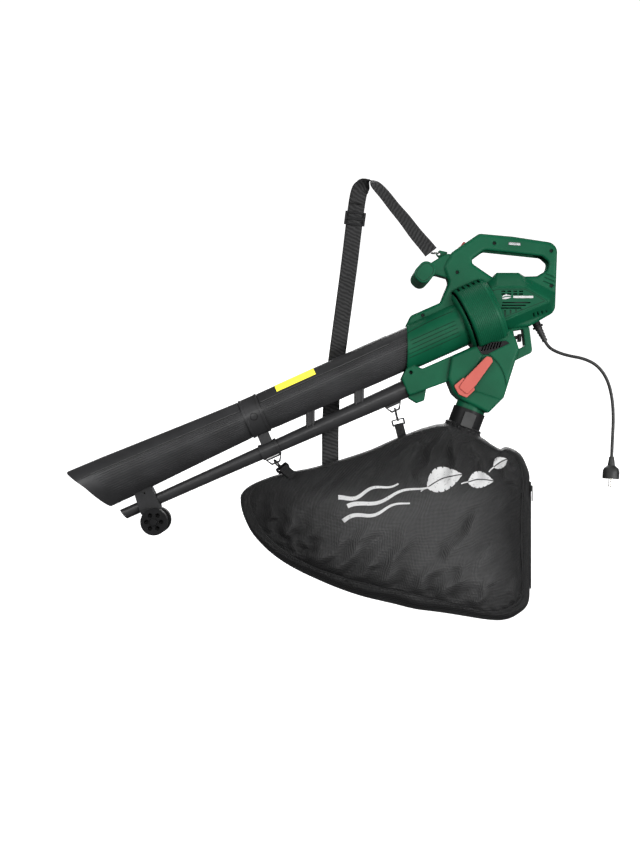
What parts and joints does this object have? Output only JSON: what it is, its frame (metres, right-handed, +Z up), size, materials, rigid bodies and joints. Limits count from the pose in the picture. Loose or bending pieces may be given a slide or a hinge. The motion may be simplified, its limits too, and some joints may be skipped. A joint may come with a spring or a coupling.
{
  "type": "leaf blower",
  "caption": "Corded garden leaf blower and vacuum: ribbed suction tube over a slim blow pipe, looped rear handle, front grip bar, selector lever, catch bag and shoulder strap.",
  "frame": {"origin": "centre of the rear handle grip", "axes": "+X towards the rear of the machine (away from the nozzle), +Z up, +Y to the right-hand side as the user holds it with the nozzle ahead; the tubes slope 24 degrees down towards -X"},
  "size_m": [1.2421, 0.201, 0.9961],
  "materials": {
    "tube_black": "fine ribbed, satin",
    "black_plastic": "satin",
    "green_plastic": "satin, light grain",
    "panel_green": "satin",
    "red_plastic": "satin",
    "grey_plastic": "satin",
    "label_yellow": "matte film",
    "steel": "machined",
    "dark_steel": "blackened",
    "cast_alloy": "cast",
    "copper": "turned",
    "hook_black": "black lacquer",
    "bag_nylon": "woven nylon with a slight sheen",
    "webbing": "woven webbing",
    "zip_black": "matte",
    "cord_rubber": "matte",
    "pin_nickel": "nickel plated"
  },
  "bodies": {
    "blower": {"upper_suction_tube": "tube_black", "lower_suction_tube": "tube_black", "upper_blow_pipe": "tube_black", "lower_blow_pipe": "tube_black", "tube_collars": "tube_black", "stowage_frame": "green_plastic", "tube_spacers": "tube_black", "front_bracket": "tube_black", "wheel_axle": "steel", "axle_collars": "black_plastic", "bag_eyelets": "tube_black", "tube_label": "label_yellow", "housing_left": "green_plastic", "housing_right": "green_plastic", "housing_screws": "dark_steel", "motor_vent_left": "panel_green", "motor_vent_right": "panel_green", "fan_grilles": "black_plastic", "fan_bulkhead": "cast_alloy", "motor_bearings": "steel", "rear_bearing_bracket": "steel", "stator": "steel", "brush_holders": "black_plastic", "switch_body": "black_plastic", "front_grips": "green_plastic", "front_grip_caps": "green_plastic", "cable_hook": "black_plastic", "cable_gland": "black_plastic", "bag_connector": "black_plastic", "latch_pin": "steel", "latch_spring": "steel", "catch_bag": "bag_nylon", "bag_zip": "zip_black", "swivel_loops": "hook_black", "bag_tabs": "bag_nylon", "strap_clip": "steel", "shoulder_strap": "webbing", "bend_relief": "cord_rubber", "mains_cord": "cord_rubber", "plug_body": "cord_rubber", "plug_pins": "pin_nickel"},
    "fan": {"motor_shaft": "steel", "impeller": "black_plastic", "impeller_nut": "steel", "motor_cooling_fan": "black_plastic", "armature": "steel", "commutator": "copper"},
    "selector": {"selector_shaft": "steel", "selector_lever": "red_plastic", "changeover_flap": "black_plastic"},
    "power_rocker": {"switch_rocker": "red_plastic"},
    "wheel_l": {"wheel_left": "black_plastic"},
    "wheel_r": {"wheel_right": "black_plastic"},
    "latch": {"bag_latch": "grey_plastic"},
    "hook_front": {"front_hook": "hook_black"},
    "gate_front": {"front_hook_gate": "hook_black"},
    "hook_rear": {"rear_hook": "hook_black"},
    "gate_rear": {"rear_hook_gate": "hook_black"},
    "zip_pull": {"zip_slider": "zip_black"},
    "buckle": {"strap_buckle": "black_plastic"}
  },
  "joints": [
    {"name": "fan_spin", "type": "hinge", "parent": "blower", "child": "fan", "pos_m": [-0.00885, 0, -0.12763], "axis": [0.9135, 0, 0.4067], "continuous": true},
    {"name": "selector_turn", "type": "hinge", "parent": "blower", "child": "selector", "pos_m": [-0.113, 0, -0.321], "axis": [0, 1, 0], "range_deg": [0, 55]},
    {"name": "power_switch", "type": "hinge", "parent": "blower", "child": "power_rocker", "pos_m": [-0.113, 0, -0.006], "axis": [0, 1, 0], "range_deg": [0, 12]},
    {"name": "wheel_left_spin", "type": "hinge", "parent": "blower", "child": "wheel_l", "pos_m": [-0.80304, -0.0275, -0.61806], "axis": [0, 1, 0], "continuous": true},
    {"name": "wheel_right_spin", "type": "hinge", "parent": "blower", "child": "wheel_r", "pos_m": [-0.80304, 0.0275, -0.61806], "axis": [0, 1, 0], "continuous": true},
    {"name": "bag_latch_press", "type": "hinge", "parent": "blower", "child": "latch", "pos_m": [-0.10514, -0.044, -0.38868], "axis": [0.9341, 0, -0.357], "range_deg": [0, 7], "stiffness_Nm_per_rad": 0.05, "deforming": ["latch_spring"]},
    {"name": "front_hook_swivel", "type": "hinge", "parent": "blower", "child": "hook_front", "pos_m": [-0.52547, -0.00945, -0.49328], "axis": [-0.579, 0.6945, 0.4271], "range_deg": [-10, 10]},
    {"name": "front_gate", "type": "hinge", "parent": "hook_front", "child": "gate_front", "pos_m": [-0.52678, -0.00026, -0.49602], "axis": [0.7651, 0.2818, 0.579], "range_deg": [0, 20], "stiffness_Nm_per_rad": 0.01},
    {"name": "rear_hook_swivel", "type": "hinge", "parent": "blower", "child": "hook_rear", "pos_m": [-0.26144, 0, -0.3835], "axis": [-0.2451, 0, 0.9695], "range_deg": [-10, 10]},
    {"name": "rear_gate", "type": "hinge", "parent": "hook_rear", "child": "gate_rear", "pos_m": [-0.2629, 0.00762, -0.37771], "axis": [0.9695, 0, 0.2451], "range_deg": [0, 20], "stiffness_Nm_per_rad": 0.01},
    {"name": "bag_zip_slide", "type": "slide", "parent": "blower", "child": "zip_pull", "axis": [0, 0, 1], "range_m": [-0.19, 0]},
    {"name": "strap_slide", "type": "slide", "parent": "blower", "child": "buckle", "axis": [0.1286, -0.093, 0.9873], "range_m": [-0.25, 0.015]}
  ]
}
